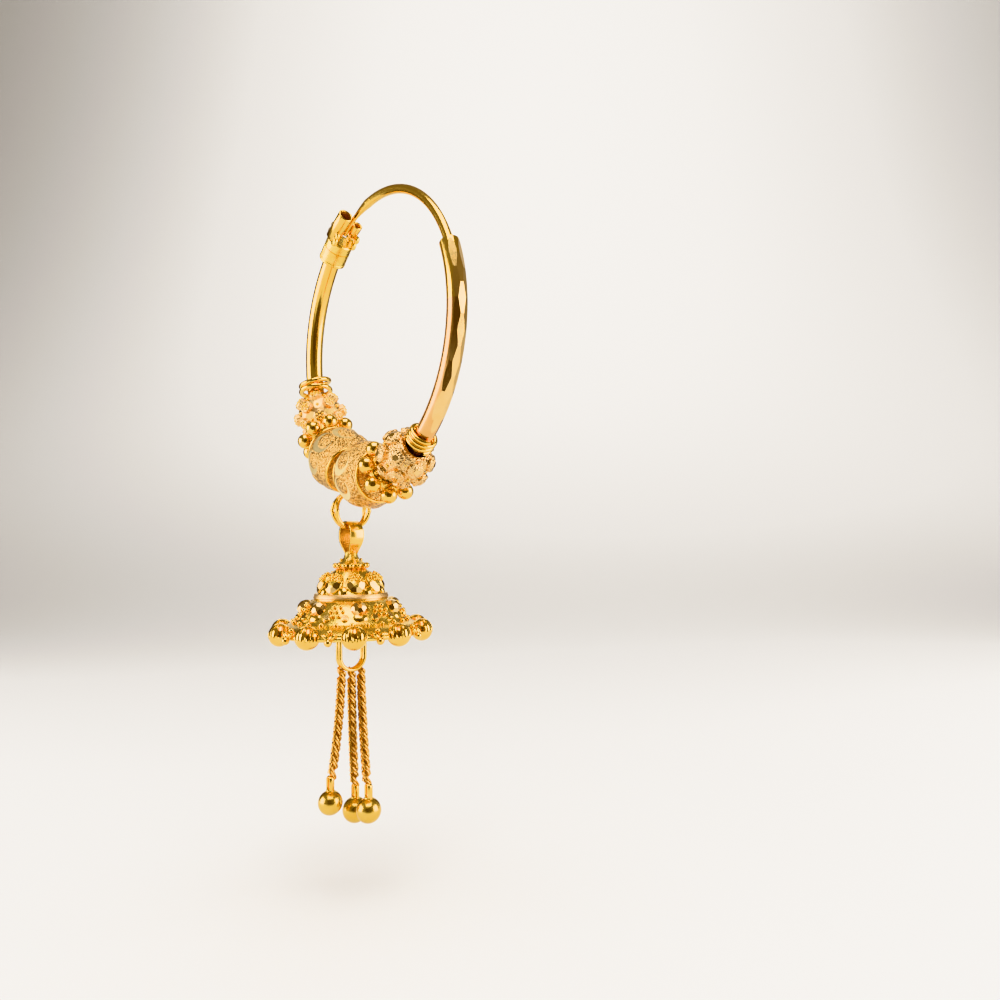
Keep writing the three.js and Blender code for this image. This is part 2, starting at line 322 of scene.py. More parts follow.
def along_hoop(first, last, radius, sides, steps):
    """A round bar bent along the hoop between two angles."""
    let_go()
    bpy.ops.mesh.primitive_circle_add(vertices=sides, radius=radius * MM)
    obj = put(bpy.context.object, threaded(first))
    edit(obj)
    choose_all()
    bpy.ops.mesh.spin(
        steps=steps,
        angle=math.radians(last - first),
        center=[v * MM for v in HOOP_CENTRE],
        axis=(0, 1, 0),
    )
    choose_all()
    bpy.ops.mesh.fill_holes(sides=0)
    done()
    return outward(obj)


# %% [markdown]
# ## The metals
# One alloy, finished in different ways. Polished gold is nearly a mirror with faint handling
# haze, and cast gold is rougher. Satin gold is frosted with a fine grain. Stippled and sparkling
# gold are struck all over with a small punch, so that they show tiny domes over real dents; their
# dark seams are painted shade in the colour. Cut gold is what a diamond tool leaves: pale and flat,
# and the moons are paler still as a painted highlight. Chain gold is a darker polish, partly
# painted shade for the dark things it mirrors, and a brown, dull painted shade darkens hollow
# insides and the chain's core. One recipe of noise and cells makes them all. Sizes are in
# millimetres.

# %% How a metal is made


def dial(node, name, value):
    """Sets one number or colour of a node."""
    node.inputs[name].default_value = value


def metal(name, colour, deep, rough, haze, grain=None, grain_depth=0.0, cells=None, cell_depth=0.0):
    """A gold finish: colour and deep mix in soft clouds, haze varies the shine, and grain and
    cells are two sizes of surface texture. With cells the mix follows the cells instead, and deep
    is painted shade in the seams between the domes."""
    made = bpy.data.materials.new(name)
    made.use_nodes = True
    nodes, links = made.node_tree.nodes, made.node_tree.links
    shader = nodes["Principled BSDF"]
    dial(shader, "Metallic", 1.0)
    place = nodes.new("ShaderNodeTexCoord")

    cloud = nodes.new("ShaderNodeTexNoise")
    dial(cloud, "Scale", 1.0 / (1.1 * MM))
    dial(cloud, "Detail", 4.0)
    links.new(place.outputs["Object"], cloud.inputs["Vector"])

    tint = nodes.new("ShaderNodeMix")
    tint.data_type = "RGBA"
    dial(tint, "A", (*deep, 1.0))
    dial(tint, "B", (*colour, 1.0))
    spread = nodes.new("ShaderNodeMapRange")
    dial(spread, "From Min", 0.32)
    dial(spread, "From Max", 0.6)
    links.new(cloud.outputs["Fac"], spread.inputs["Value"])
    links.new(spread.outputs["Result"], tint.inputs["Factor"])
    links.new(tint.outputs["Result"], shader.inputs["Base Color"])

    shine = nodes.new("ShaderNodeMapRange")
    dial(shine, "To Min", rough)
    dial(shine, "To Max", rough + haze)
    fine = nodes.new("ShaderNodeTexNoise")
    dial(fine, "Scale", 1.0 / (0.25 * MM))
    dial(fine, "Detail", 3.0)
    links.new(place.outputs["Object"], fine.inputs["Vector"])
    links.new(fine.outputs["Fac"], shine.inputs["Value"])
    links.new(shine.outputs["Result"], shader.inputs["Roughness"])

    last = None
    if grain:
        dust = nodes.new("ShaderNodeTexNoise")
        dial(dust, "Scale", 1.0 / (grain * MM))
        dial(dust, "Detail", 2.0)
        links.new(place.outputs["Object"], dust.inputs["Vector"])
        last = nodes.new("ShaderNodeBump")
        dial(last, "Strength", 1.0)
        dial(last, "Distance", grain_depth * MM)
        links.new(dust.outputs["Fac"], last.inputs["Height"])
    if cells:
        domes = nodes.new("ShaderNodeTexVoronoi")
        dial(domes, "Scale", 1.0 / (cells * MM))
        links.new(place.outputs["Object"], domes.inputs["Vector"])
        struck = nodes.new("ShaderNodeBump")
        struck.invert = True
        dial(struck, "Strength", 1.0)
        dial(struck, "Distance", cell_depth * MM)
        links.new(domes.outputs["Distance"], struck.inputs["Height"])
        if last:
            links.new(last.outputs["Normal"], struck.inputs["Normal"])
        last = struck
        # With cells, the deep colour fills the seams between the domes as painted shade.
        dial(spread, "From Min", 0.75)
        dial(spread, "From Max", 0.30)
        links.new(domes.outputs["Distance"], spread.inputs["Value"])
    if last:
        links.new(last.outputs["Normal"], shader.inputs["Normal"])
    return made


# %% The metals
POLISHED = metal("polished gold", (0.94, 0.62, 0.16), (0.90, 0.56, 0.12), 0.10, 0.12, 0.6, 0.004)
CAST = metal("cast gold", (0.97, 0.69, 0.19), (0.88, 0.55, 0.11), 0.18, 0.16, 0.16, 0.018)
SATIN = metal("satin gold", (0.98, 0.70, 0.34), (0.88, 0.54, 0.23), 0.26, 0.16, 0.07, 0.010)
# The deep colours of stippled and sparkling gold are painted shade in the seams between the domes.
STIPPLED = metal(
    "stippled gold", (0.90, 0.58, 0.22), (0.42, 0.20, 0.05), 0.22, 0.16, 0.08, 0.010, 0.15, 0.075
)
SPARKLE = metal(
    "sparkling gold", (0.92, 0.64, 0.30), (0.72, 0.43, 0.16), 0.18, 0.14, 0.10, 0.012, 0.16, 0.055
)
CUT = metal("diamond-cut gold", (0.93, 0.64, 0.27), (0.90, 0.59, 0.22), 0.10, 0.10)
# The moons' pale colour is a painted highlight: they are cut from the same gold.
MOON = metal("cut moons with painted highlight", (1.0, 0.84, 0.48), (1.0, 0.80, 0.42), 0.34, 0.08)
SOFT = metal("soft-polished gold", (0.80, 0.53, 0.13), (0.75, 0.46, 0.09), 0.20, 0.10, 0.6, 0.004)
TUBE_FACE = metal("tube gold", (0.84, 0.49, 0.20), (0.78, 0.43, 0.15), 0.16, 0.08, 0.5, 0.003)
# Chain gold's darker colour is partly painted shade, for the dark surroundings that the chain
# mirrors.
CHAIN = metal("chain gold", (0.88, 0.54, 0.16), (0.72, 0.41, 0.10), 0.12, 0.12, 0.3, 0.004)
# Painted shade: a dark brown, dull gold for hollow insides and the chain's core, where shade falls.
PAINTED_SHADE = metal("painted shade gold", (0.62, 0.28, 0.05), (0.30, 0.11, 0.015), 0.34, 0.20, 0.12, 0.04)
print("made", len(bpy.data.materials), "finishes")

# %% Bright pieces and grains


def bright(obj, metal_=POLISHED):
    """Dresses a round piece in one metal and smooths it."""
    return smooth(dress(obj, metal_), 60)


def granule(radius, place=(0, 0, 0), metal_=POLISHED):
    """A grain of gold; there are hundreds, so each has few faces."""
    return bright(ball(radius, 10, 7, place), metal_)


# %% [markdown]
# ## The hoop tube
# A drawn tube bent round, open at the near end where the ear wire goes in. Its outer side is
# diamond-cut: a flat tool has shaved long lozenges off it in three staggered rows. Each cut is
# one straight plane, so the part beyond it is sliced away and the flat left is polished.

# %% Bend the tube
TUBE_FIRST, TUBE_LAST = 133.0, 382.5
TUBE_SIDES, TUBE_STEPS = 40, 200
CUT_SLOT, CAST_SLOT, POLISHED_SLOT = 1, 2, 3
tube = dress(along_hoop(TUBE_FIRST, TUBE_LAST, TUBE_RADIUS, TUBE_SIDES, TUBE_STEPS), TUBE_FACE)
for finish in (CUT, CAST, POLISHED):
    tube.data.materials.append(finish)
choose_faces(tube, lambda at, n: hoop_angle(at) < 200)
finish_chosen(tube, POLISHED_SLOT)
done()

# %% A tool that slices flat


def slice_flat(obj, at, normal, cut_slot):
    """Slices off what lies beyond a plane and gives the new flat face its own finish."""
    edit(obj, "FACE")
    choose_all()
    bpy.ops.mesh.bisect(
        plane_co=at, plane_no=normal, use_fill=True, clear_outer=True, threshold=0.0001 * MM
    )
    bpy.ops.mesh.mark_sharp()
    finish_chosen(obj, cut_slot)
    done()


def shave(obj, angle, lean, depth):
    """One lozenge on the tube's outer side, leaning that many degrees towards +Y."""
    a, b = math.radians(angle), math.radians(lean)
    normal = Vector((math.cos(a) * math.cos(b), math.sin(b), math.sin(a) * math.cos(b)))
    slice_flat(obj, on_hoop(angle) * MM + normal * (TUBE_RADIUS - depth) * MM, normal, CUT_SLOT)


# %% Shave the lozenges and open the end
LOZENGE_STEP = 10.5
LOZENGE_RUNS = ((137.0, 189.0), (318.0, 380.0))
# Rows of lozenges: how far each leans towards +Y, in degrees, and how deep it is cut.
MIDDLE_ROW, SIDE_ROWS = (-4, 0.058), ((-33, 0.05), (27, 0.05))
# The open end goes in by two steps: how much narrower, and how much deeper.
MOUTH_STEPS = ((0.13, 0.12), (0.12, 0.8))
for first, last in LOZENGE_RUNS:
    count = round((last - first) / LOZENGE_STEP)
    for i in range(count + 1):
        angle = first + i * LOZENGE_STEP
        if angle < last:
            shave(tube, angle, *MIDDLE_ROW)
        if angle + LOZENGE_STEP / 2 < last:
            for row in SIDE_ROWS:
                shave(tube, angle + LOZENGE_STEP / 2, *row)

mouth_normal = (on_hoop(TUBE_LAST + 1) - on_hoop(TUBE_LAST - 1)).normalized()
mouth = on_hoop(TUBE_LAST)
choose_faces(tube, lambda at, n: n.dot(mouth_normal) > 0.95 and (at - mouth).length < 0.5)
for narrower, deeper in MOUTH_STEPS:
    bpy.ops.mesh.inset(thickness=narrower * MM)
    draw_out(mouth_normal * -deeper * MM)
finish_chosen(tube, CAST_SLOT)
done()
smooth(tube, 24)

# %% [markdown]
# The eye that carries the drop is a closed wire loop on a short post, soldered under the tube
# between the two crescent beads, so it belongs to the same piece.

# %% Add the hanging eye
EYE_RADIUS, EYE_WIRE, POST_RADIUS = 0.54, 0.135, 0.2
eye = bright(wire_ring(EYE_RADIUS, EYE_RADIUS, EYE_WIRE))
eye_post = bright(rod(POST_RADIUS, 1.0, 20, 0.02))
put(eye_post, shift(0, 0, EYE_RADIUS + 0.45))
eye = join([eye, eye_post], "eye")
put(eye, shift(DROP_X, 0, EYE_BOTTOM + EYE_RADIUS))
hand_over(join([tube, eye], "hoop tube"), "hoop tube", "hoop", "polished_gold", "hoop_tube")

# %% [markdown]
# ## The ear wire
# A round polished wire that goes over the top and through the ear. Its last part is beaten to a
# thin blade, which springs into the catch. Each short stretch is pressed a little more.

# %% Bend the ear wire and beat its blade
WIRE_FIRST, WIRE_LAST = 23.2, 118.0
FLAT_FROM, FLAT_TO = 96.0, 106.0
BLADE_THICKNESS, BLADE_DEPTH = 0.30, 0.48
WIRE_SIDES, WIRE_STEPS = 28, 158

wire = dress(along_hoop(WIRE_FIRST, WIRE_LAST, WIRE_RADIUS, WIRE_SIDES, WIRE_STEPS), POLISHED)
step = (WIRE_LAST - WIRE_FIRST) / WIRE_STEPS
for i in range(WIRE_STEPS + 1):
    angle = WIRE_FIRST + i * step
    pressed = min(1.0, (angle - FLAT_FROM) / (FLAT_TO - FLAT_FROM))
    if pressed <= 0:
        continue
    choose_corners(wire, lambda at, a=angle: abs(hoop_angle(at) - a) < step * 0.4)
    across = 1 - pressed * (1 - BLADE_THICKNESS / (2 * WIRE_RADIUS))
    deep = 1 - pressed * (1 - BLADE_DEPTH / (2 * WIRE_RADIUS))
    bpy.ops.transform.resize(value=(deep, across, deep), center_override=on_hoop(angle) * MM)
done()
smooth(wire, 50)
hand_over(wire, "ear wire", "hoop", "polished_gold", "ear_wire")

# %% [markdown]
# ## The catch
# Built up from short tubes: a wide collar over the end of the hoop, an open barrel and a smaller
# keeper either side of the blade, and stepped lobes soldered where they meet the collar. Each
# lobe is a flat button of rod that lies across the hoop, and a pin is set in the collar.

# %% A short pipe


def pipe(radius, bore, length, sides=28):
    """A short tube along Z with rounded lips and an inside darkened with painted shade."""
    half, lip = length / 2, 0.05
    tube = dress(turned([
        (bore, -half + lip), (bore + lip, -half), (radius - lip, -half), (radius, -half + lip),
        (radius, half - lip), (radius - lip, half), (bore + lip, half), (bore, half - lip),
        (bore, -half + lip),
    ], sides, closed=True), POLISHED)
    tube.data.materials.append(PAINTED_SHADE)
    # The inside faces take the painted shade.
    choose_faces(tube, lambda at, n: at.x * n.x + at.y * n.y < -0.9 * bore)
    finish_chosen(tube, 1)
    done()
    return smooth(tube, 50)


# %% Solder up the catch
COLLAR_ANGLE, BARREL_ANGLE = 127.3, 114.4
# Pairs of lobes, one out and one in: the hoop's face, angle round it, distance and radius.
LOBES = (
    (-1, 120.6, 0.55, 0.42), (1, 120.6, 0.50, 0.42),
    (-1, 117.2, 0.62, 0.30), (1, 117.0, 0.55, 0.34),
)
collar = smooth(turned([
    (0.8, -1.05), (1.02, -1.05), (1.12, -0.96), (1.12, -0.34), (1.04, -0.30), (1.04, -0.24),
    (1.12, -0.20), (1.12, 0.66), (1.08, 0.70), (1.08, 0.78), (1.13, 0.82), (1.13, 0.98),
    (1.04, 1.06), (0.8, 1.06),
], 40), 40)
dress(collar, CAST)
put(collar, threaded(COLLAR_ANGLE))
barrel = put(pipe(0.60, 0.46, 2.6), threaded(BARREL_ANGLE), shift(0, -0.77, 0))
keeper = put(pipe(0.42, 0.28, 1.2), threaded(BARREL_ANGLE), shift(0, 0.64, 0.0))
catch_parts = [collar, barrel, keeper]
for side, angle, distance, radius in LOBES:
    for out in (1, -1):
        lobe = smooth(dress(rod(radius, 0.34, 20, 0.1), CAST), 40)
        place = shift(out * distance, side * (0.95 - radius * 0.2), 0)
        catch_parts.append(put(lobe, threaded(angle), place, turn(90, "X")))
pin = put(dress(rod(0.16, 1.0, 16, 0.04), CAST), threaded(COLLAR_ANGLE), shift(0, -1.0, 0.2))
catch_parts.append(pin)
hand_over(join(catch_parts, "catch"), "catch", "hoop", "polished_gold", "catch")

# %% [markdown]
# ## Spacer rings and the coil
# Two loose rings stop the beads at the left, one of them tilted, and a close coil of three turns
# stops them at the right. The coil is a small round drawn along a screw line.

# %% Hang the spacer rings
SPACER_RADIUS, SPACER_WIRE = 1.26, 0.215
spacer = bright(wire_ring(SPACER_RADIUS, SPACER_RADIUS, SPACER_WIRE))
put(spacer, turn(90, "X"))
for name, place in (
    ("spacer_ring_upper", threaded(190.6) @ turn(-12, "X")),
    ("spacer_ring_lower", threaded(194.4)),
):
    one = put(another(spacer), place)
    hand_over(one, name, "hoop", "polished_gold", name)
bpy.data.objects.remove(spacer)

# %% Wind the coil
COIL_RADIUS, COIL_WIRE, COIL_TURNS, COIL_PITCH = 0.97, 0.165, 3, 0.36
let_go()
bpy.ops.mesh.primitive_circle_add(
    vertices=14,
    radius=COIL_WIRE * MM,
    location=(COIL_RADIUS * MM, 0, -COIL_TURNS * COIL_PITCH / 2 * MM),
    rotation=(math.pi / 2, 0, 0),
)
coil = settle(bpy.context.object)
screw = coil.modifiers.new("wind", "SCREW")
screw.iterations = COIL_TURNS
screw.screw_offset = COIL_PITCH * MM
screw.steps = screw.render_steps = 32
bpy.ops.object.modifier_apply(modifier=screw.name)
edit(coil)
choose_all()
bpy.ops.mesh.fill_holes(sides=0)
done()
outward(coil)
put(bright(coil), threaded(306.3))
hand_over(coil, "coil spacer", "hoop", "polished_gold", "coil_spacer")

# %% [markdown]
# ## The crescent beads
# A barrel-shaped bead struck all over with a small punch. Round flats are cut along its belly
# with a diamond tool, and a stippled lens is struck a little off the middle of each, so only a
# moon of the bright flat is left. A plane slices each flat and a squashed ball makes the lens.

# %% Turn a crescent bead, cut its flats and strike its lenses
BEAD_HALF, BELLY, BEAD_END = 2.02, 2.70, 2.05
MOON_COUNT, MOON_DEPTH = 8, 0.19
LENS_RADIUS, LENS_RISE, LENS_ASIDE, LENS_UP = 0.72, 0.20, -0.24, 0.06
END_RIM_RADIUS, END_RIM_WIRE = 2.06, 0.12


def belly_profile(steps=18):
    """The bulging side of a crescent bead, as (radius, height) pairs."""
    points = []
    for i in range(steps + 1):
        height = (BEAD_HALF - 0.24) * (2 * i / steps - 1)
        bulge = math.cos(height / BEAD_HALF * math.pi / 2)
        points.append((BEAD_END + (BELLY - BEAD_END) * bulge, height))
    return points


crescent = turned(
    [(BORE, -BEAD_HALF), (1.95, -BEAD_HALF), (2.02, 0.14 - BEAD_HALF)]
    + belly_profile()
    + [(2.02, BEAD_HALF - 0.14), (1.95, BEAD_HALF), (BORE, BEAD_HALF), (BORE, -BEAD_HALF)],
    80,
    closed=True,
)
dress(crescent, STIPPLED)
# The moons take the pale colour of a painted highlight.
crescent.data.materials.append(MOON)
for i in range(MOON_COUNT):
    a = 2 * math.pi * i / MOON_COUNT
    out = Vector((math.cos(a), math.sin(a), 0))
    slice_flat(crescent, out * (BELLY - MOON_DEPTH) * MM, out, 1)
smooth(crescent, 24)
lens = dress(ball(1.0, 28, 14), STIPPLED)
put(
    lens,
    shift(BELLY - MOON_DEPTH - 0.01, LENS_ASIDE, LENS_UP),
    stretch(LENS_RISE, LENS_RADIUS, LENS_RADIUS),
)
lenses = copies(smooth(lens, 60), around(MOON_COUNT))

rims = []
for side in (-1, 1):
    end_rim = bright(wire_ring(END_RIM_RADIUS, END_RIM_RADIUS, END_RIM_WIRE, 72, 10))
    rims.append(put(end_rim, shift(0, 0, side * (BEAD_HALF - 0.13)), turn(90, "X")))
crescent = join([crescent] + lenses + rims, "crescent bead")
for name, angle, spin in (("crescent_bead_left", 238.0, 10), ("crescent_bead_right", 263.9, 28)):
    one = put(another(crescent), threaded(angle, BEAD_SINK), turn(spin, "Z"))
    hand_over(one, name, "hoop", "stippled_gold", name)
bpy.data.objects.remove(crescent)

# %% [markdown]
# ## The ball rings
# Eight polished balls soldered round a narrow band, with fine granules beside and between them.
# A ball is made once, and its copies are turned round the band.

# %% Solder a ball ring
RING_COUNT, RING_PITCH, RING_BALL = 8, 1.97, 0.64
BAND_HALF, BAND_RADIUS, GRAIN_OUT, GRAIN_UP = 0.34, 1.62, 1.42, 0.36
band = dress(turned([
    (BORE, -BAND_HALF), (1.48, -BAND_HALF), (BAND_RADIUS, -0.2), (BAND_RADIUS, 0.2),
    (1.48, BAND_HALF), (BORE, BAND_HALF), (BORE, -BAND_HALF),
], 40, closed=True), CAST)
one_ball = bright(ball(RING_BALL, 28, 18, (RING_PITCH, 0, 0)))
balls = copies(one_ball, around(RING_COUNT))
grains = []
for turned_by in (180 / RING_COUNT, 0):
    for height in (GRAIN_UP, -GRAIN_UP):
        grain = granule(0.17, (GRAIN_OUT, 0, height))
        grains += copies(grain, around(RING_COUNT, turned_by))
ball_ring = join([smooth(band, 30)] + balls + grains, "ball ring")
for name, angle, spin in (("ball_ring_left", 221.0, 15), ("ball_ring_right", 280.9, 36)):
    one = put(another(ball_ring), threaded(angle), turn(spin, "Z"))
    hand_over(one, name, "hoop", "polished_gold", name)
bpy.data.objects.remove(ball_ring)

# %% [markdown]
# ## The flower beads
# A round frosted bead with flower bosses standing on it in three staggered rows. The left bead's
# bosses are nearly round with seven grains on top, and small diamond cuts lie between them. The
# right bead's are lobed and rough, with a cut point in the middle, and stand closer. A boss is
# made once for each row and copied six times round it, with one granule between each two.

# %% The body of a flower bead
FLOWER_HALF, FLOWER_BODY, FLOWER_ROUND, FLOWER_COUNT = 1.75, 1.86, 2.28, 6


def flower_body(metal_, rows):
    """The frosted round body with rows of small diamond cuts."""
    profile = [(BORE, -FLOWER_HALF), (1.22, -FLOWER_HALF)]
    for i in range(13):
        height = (2 * i / 12 - 1) * (FLOWER_HALF - 0.1)
        round_at = math.sqrt(FLOWER_ROUND ** 2 - (height * 1.03) ** 2)
        profile.append((round_at * FLOWER_BODY / FLOWER_ROUND, height))
    profile += [(1.22, FLOWER_HALF), (BORE, FLOWER_HALF), (BORE, -FLOWER_HALF)]
    body = dress(turned(profile, 48, closed=True), metal_)
    body.data.materials.append(CUT)
    for row in rows:
        for i in range(FLOWER_COUNT):
            a = math.radians(60 * i + (0 if row else 30))
            normal = Vector((math.cos(a), math.sin(a), row * 0.55)).normalized()
            slice_flat(body, normal * (FLOWER_BODY - 0.03 - abs(row) * 0.02) * MM, normal, 1)
    return smooth(body, 24)


# %% One boss


def step_up(narrower, higher):
    """Raises the chosen top by a step that is a little narrower."""
    bpy.ops.mesh.inset(thickness=narrower * MM)
    bpy.ops.transform.translate(value=(0, 0, higher * MM))


def boss(lobes, size, top, point):
    """A raised flower, standing on X: a scalloped edge, a rough top and a cut point or grains."""
    let_go()
    bpy.ops.mesh.primitive_cylinder_add(vertices=lobes * 4, radius=size * MM, depth=0.5 * MM)
    flower = bpy.context.object
    dress(flower, SPARKLE if point else SATIN)
    flower.data.materials.append(top)
    flower.data.materials.append(CUT)

    def on_lobe(at):
        lobe = math.atan2(at.y, at.x) * lobes / (2 * math.pi)
        return abs(lobe - round(lobe)) < 0.3

    choose_corners(flower, on_lobe)
    bpy.ops.transform.resize(value=(1.08, 1.08, 1))
    choose_faces(flower, lambda at, n: n.z > 0.9)
    step_up(0.05, 0.06)
    finish_chosen(flower, 1)
    step_up(0.20, 0.05)
    if point:
        step_up(0.15, 0.10)
        finish_chosen(flower, 2)
    done()
    flower = [smooth(flower, 30)]
    if not point:
        flower.append(granule(0.13, (0, 0, 0.34)))
        for i in range(6):
            a = math.radians(60 * i)
            flower.append(granule(0.12, (0.29 * math.cos(a), 0.29 * math.sin(a), 0.31)))
    return put(join(flower, "boss"), turn(90, "Y"))


# %% Build the flower beads


def flower_bead(lobes, size, top, point, body_metal, name):
    """A whole flower bead: its body, three rows of bosses and a granule between each two."""
    parts = [flower_body(body_metal, () if point else (-1, 0, 1))]
    for row in (-1, 0, 1):
        sink = 0.03 if row else 0.0
        flower = boss(lobes, size, top, point)
        put(flower, turn(30 if row else 0, "Z"), turn(-row * 33, "Y"),
            shift(FLOWER_BODY - sink, 0, 0))
        parts += copies(flower, around(FLOWER_COUNT))
        grain = granule(0.15)
        put(grain, turn(0 if row else 30, "Z"), turn(-row * 36, "Y"),
            shift(FLOWER_BODY - 0.02, 0, 0))
        parts += copies(grain, around(FLOWER_COUNT))
    return join(parts, name)


for name, angle, lobes, size, top, point, body_metal, spin in (
    ("flower_bead_left", 207.3, 8, 0.50, SPARKLE, False, SATIN, 2),
    ("flower_bead_right", 293.2, 5, 0.60, SPARKLE, True, SPARKLE, 24),
):
    bead = flower_bead(lobes, size, top, point, body_metal, name)
    put(bead, threaded(angle, BEAD_SINK), turn(spin, "Z"))
    hand_over(bead, name, "hoop", "satin_gold", name)

# %% [markdown]
# ## The jump rings
# Two turns of drawn wire carry the bell. They lie close together where they pass through the eye
# and the bail, and bow apart at their sides.

# %% Bend the jump rings
JUMP_RADIUS, JUMP_WIRE, JUMP_SPREAD = 1.45, 0.155, 0.17
JUMP_BOW, BOW_STEPS = 0.28, 16
jump = put(dress(wire_ring(JUMP_RADIUS, JUMP_RADIUS, JUMP_WIRE, 64, 16), POLISHED), turn(90, "Z"))
for name, side in (("jump_ring_near", 1), ("jump_ring_far", -1)):
    one = another(jump)
    for i in range(BOW_STEPS):
        high = JUMP_RADIUS * math.sin(math.pi / 2 * i / BOW_STEPS)
        choose_corners(one, lambda at, h=high: abs(at.z) < JUMP_RADIUS - h + 0.001)
        bpy.ops.transform.translate(value=(side * JUMP_BOW / BOW_STEPS * MM, 0, 0))
    done()
    put(one, shift(DROP_X + side * JUMP_SPREAD, 0, (RING_TOP + RING_BOTTOM) / 2))
    hand_over(smooth(one, 60), name, "ring", "polished_gold", name)
bpy.data.objects.remove(jump)

# %% [markdown]
# ## The bail
# A flat strip bent into a loop and pinched into the collar at its foot. The strip is spun over
# the top, then its two legs are drawn down and together. Its inside is darkened with painted shade.

# %% Bend the bail
BAIL_INNER, BAIL_STRIP, BAIL_WIDTH = 0.88, 0.20, 1.15
# Each stretch of a leg: how far down, how far inwards, and how much narrower.
LEG_STEPS = (
    (0.35, 0.0, 1.0), (0.25, 0.06, 0.98), (0.30, 0.16, 0.92), (0.35, 0.24, 0.84),
    (0.35, 0.18, 0.80),
)
let_go()
bpy.ops.mesh.primitive_plane_add(size=1 * MM)
bail = dress(bpy.context.object, POLISHED)
put(bail, shift(BAIL_INNER + BAIL_STRIP / 2, 0, -BAIL_INNER), stretch(BAIL_STRIP, BAIL_WIDTH, 1))
bail.data.materials.append(PAINTED_SHADE)
edit(bail, "FACE")
choose_all()
bpy.ops.mesh.spin(steps=28, angle=math.pi, center=(0, 0, -BAIL_INNER * MM), axis=(0, 1, 0))
choose_all()
bpy.ops.mesh.remove_doubles(threshold=0.0005 * MM)
bpy.ops.mesh.fill_holes(sides=0)
bpy.ops.mesh.normals_make_consistent(inside=False)
for side in (1, -1):
    low, along = -BAIL_INNER, side * (BAIL_INNER + BAIL_STRIP / 2)
    for down, inwards, narrow in LEG_STEPS:

        def at_foot(at, n, z=low, x=along):
            return n.z < -0.8 and abs(at.z - z) < 0.03 and abs(at.x - x) < 0.06

        choose_faces(bail, at_foot)
        draw_out((-side * inwards * MM, 0, -down * MM))
        bpy.ops.transform.resize(value=(1, narrow, 1))
        low, along = low - down, along - side * inwards
done()
# The faces inside the loop take the painted shade.
inside = Vector((0, 0, -BAIL_INNER - 0.2))
choose_faces(bail, lambda at, n: abs(n.y) < 0.5 and n.dot(at - inside) < 0)
finish_chosen(bail, 1)
done()
soften = bail.modifiers.new("round", "BEVEL")
soften.width = 0.035 * MM
soften.segments = 3
soften.limit_method = "ANGLE"
soften.angle_limit = math.radians(50)
take(bail)
bpy.ops.object.modifier_apply(modifier=soften.name)
smooth(bail, 40)
bell_parts = [bail]

# %% [markdown]
# ## The wall of the bell
# The bell is a thin hollow shell in three steps: a small collar, an upper dome for the petals,
# and a wider lower dome that flares out to the rim. It is turned in one go, outside and inside.

# %% Turn the wall of the bell
OUTSIDE = [
    (0.42, -2.30), (0.50, -2.45), (0.58, -2.75), (0.78, -3.0), (1.0, -3.15), (1.24, -3.32),
    (1.26, -3.5), (1.05, -3.58), (1.25, -3.75), (1.62, -4.05), (1.95, -4.45), (2.25, -4.9),
    (2.52, -5.4), (2.66, -5.64),
]
SKIRT = [
    (2.98, -6.12), (3.25, -6.24), (3.62, -6.52), (3.95, -6.92), (4.22, -7.35), (4.42, -7.72),
    (4.62, -7.9), (5.0, -8.02), (5.45, -8.2), (5.75, -8.45), (5.85, -8.75), (5.75, -8.95),
]
INSIDE = [
    (5.5, -8.95), (5.0, -8.6), (4.25, -8.2), (3.95, -7.5), (3.4, -6.95), (2.7, -6.5), (2.35, -5.9),
    (2.2, -5.2), (1.8, -4.7), (1.2, -4.35), (0.4, -4.2), (0.02, -4.2),
]
BAND = [(2.90, -5.66), (2.95, -5.72), (3.02, -5.98), (2.96, -6.06)]
wall = dress(turned([(0.02, -2.30)] + OUTSIDE + BAND + SKIRT + INSIDE, 72), CAST)
wall.data.materials.append(SATIN)


def on_band(at, n):
    level = BAND[-1][1] - 0.01 < at.z < BAND[0][1] + 0.01
    return level and n.xy.length > 0.3 and n.xy.dot(at.xy) > 0


choose_faces(wall, on_band)
finish_chosen(wall, 1)
done()
smooth(wall, 30)
bell_parts.append(wall)

# %% [markdown]
# ## Granules and petals of the upper part
# Granules are tiny balls of gold fused on in rows. A ring of them sits on the collar. Under it
# the upper dome has eight petals: each is a swelling with granules over its shoulder and four
# diamond-cut flats below.

# %% Fuse on the upper granules


def grains_at(radius, places, metal_=POLISHED):
    """Granules of one size at many (radius, height, degrees) places on the bell."""
    made = []
    for out, height, degrees in places:
        a = math.radians(degrees)
        made.append(granule(radius, (out * math.cos(a), out * math.sin(a), height), metal_))
    return made


COLLAR_COUNT = 14
around_collar = [(1.30, -3.43, 360 / COLLAR_COUNT * i) for i in range(COLLAR_COUNT)]
bell_parts += grains_at(0.225, around_collar)
bell_parts += grains_at(0.13, [(0.80, -2.98, 60 * i + 12) for i in range(6)])

# %% Cut the petals and set them round the dome
PETALS, PETALS_FIRST = 8, 26
PETAL_THICK, PETAL_WIDE, PETAL_TALL, PETAL_CUT = 0.42, 0.78, 0.90, 0.055
petal = dress(ball(1.0, 32, 20), CAST)
put(petal, stretch(PETAL_THICK, PETAL_WIDE, PETAL_TALL))
petal.data.materials.append(CUT)
for across, down in ((-0.55, -0.30), (0.55, -0.30), (-0.34, -0.75), (0.34, -0.75)):
    normal = Vector((1.0, across, down)).normalized()
    reach = Vector((PETAL_THICK * normal.x, PETAL_WIDE * normal.y, PETAL_TALL * normal.z)).length
    slice_flat(petal, normal * (reach - PETAL_CUT) * MM, normal, 1)
smooth(petal, 20)
